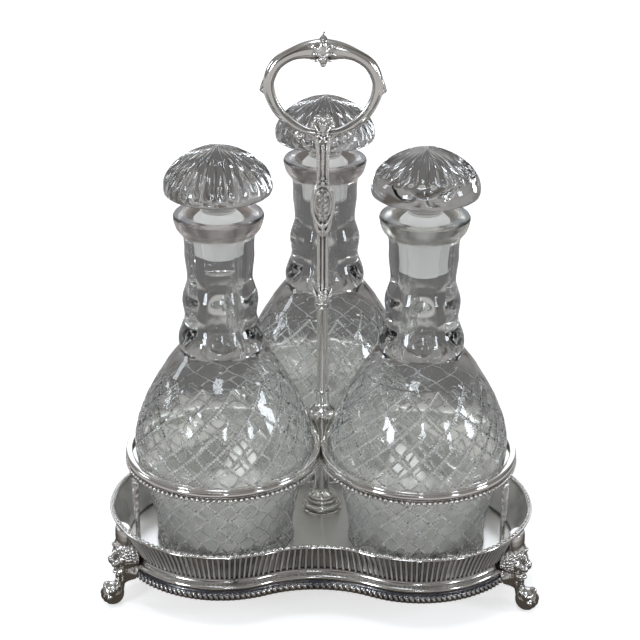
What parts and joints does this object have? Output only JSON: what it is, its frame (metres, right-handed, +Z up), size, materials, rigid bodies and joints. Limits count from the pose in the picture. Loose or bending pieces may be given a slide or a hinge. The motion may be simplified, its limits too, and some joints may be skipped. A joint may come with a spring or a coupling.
{
  "type": "antique tantalus",
  "caption": "Silver-plated decanter stand on lion feet: trefoil galleried tray, beaded rings, cut-glass decanters with mushroom stoppers, and a central column with a loop handle.",
  "frame": {"origin": "Centre of the whole stand's base box, at the level of the soles of the feet. The column's axis is 26.7 mm nearer the front, at y = -0.0267.", "axes": "+Z up along the column. The two front decanters stand side by side along X, at -X and +X. The single back decanter is towards +Y."},
  "size_m": [0.294, 0.2836, 0.3708],
  "materials": {
    "silver_plate": "polished silver plate, dark in its hollows",
    "cut_glass": "clear cut glass",
    "stopper_glass": "clear cut glass with a ground peg",
    "brass_fixings": "dull unplated brass"
  },
  "bodies": {
    "stand": {"baluster": "silver_plate", "base_border": "silver_plate", "base_nut": "brass_fixings", "base_washer": "brass_fixings", "bracket_back": "silver_plate", "bracket_left": "silver_plate", "bracket_right": "silver_plate", "column_sleeve": "silver_plate", "foot_back": "silver_plate", "foot_left": "silver_plate", "foot_right": "silver_plate", "foot_screws": "brass_fixings", "gadroon_edge": "silver_plate", "gallery_rim": "silver_plate", "gallery_wall": "silver_plate", "handle": "silver_plate", "handle_collar": "silver_plate", "pedestal": "silver_plate", "ring_back": "silver_plate", "ring_beading_back": "silver_plate", "ring_beading_left": "silver_plate", "ring_beading_right": "silver_plate", "ring_hub": "silver_plate", "ring_left": "silver_plate", "ring_right": "silver_plate", "tie_rod": "brass_fixings", "tray_floor": "silver_plate"},
    "decanter_back": {"decanter_back": "cut_glass"},
    "stopper_back": {"stopper_back": "stopper_glass"},
    "decanter_left": {"decanter_left": "cut_glass"},
    "stopper_left": {"stopper_left": "stopper_glass"},
    "decanter_right": {"decanter_right": "cut_glass"},
    "stopper_right": {"stopper_right": "stopper_glass"}
  },
  "joints": [
    {"name": "lift_decanter_back", "type": "slide", "parent": "stand", "child": "decanter_back", "axis": [0, 0, 1], "range_m": [0, 0.11]},
    {"name": "lift_stopper_back", "type": "slide", "parent": "decanter_back", "child": "stopper_back", "axis": [0, 0, 1], "range_m": [0, 0.05]},
    {"name": "lift_decanter_left", "type": "slide", "parent": "stand", "child": "decanter_left", "axis": [0, 0, 1], "range_m": [0, 0.11]},
    {"name": "lift_stopper_left", "type": "slide", "parent": "decanter_left", "child": "stopper_left", "axis": [0, 0, 1], "range_m": [0, 0.05]},
    {"name": "lift_decanter_right", "type": "slide", "parent": "stand", "child": "decanter_right", "axis": [0, 0, 1], "range_m": [0, 0.11]},
    {"name": "lift_stopper_right", "type": "slide", "parent": "decanter_right", "child": "stopper_right", "axis": [0, 0, 1], "range_m": [0, 0.05]}
  ]
}
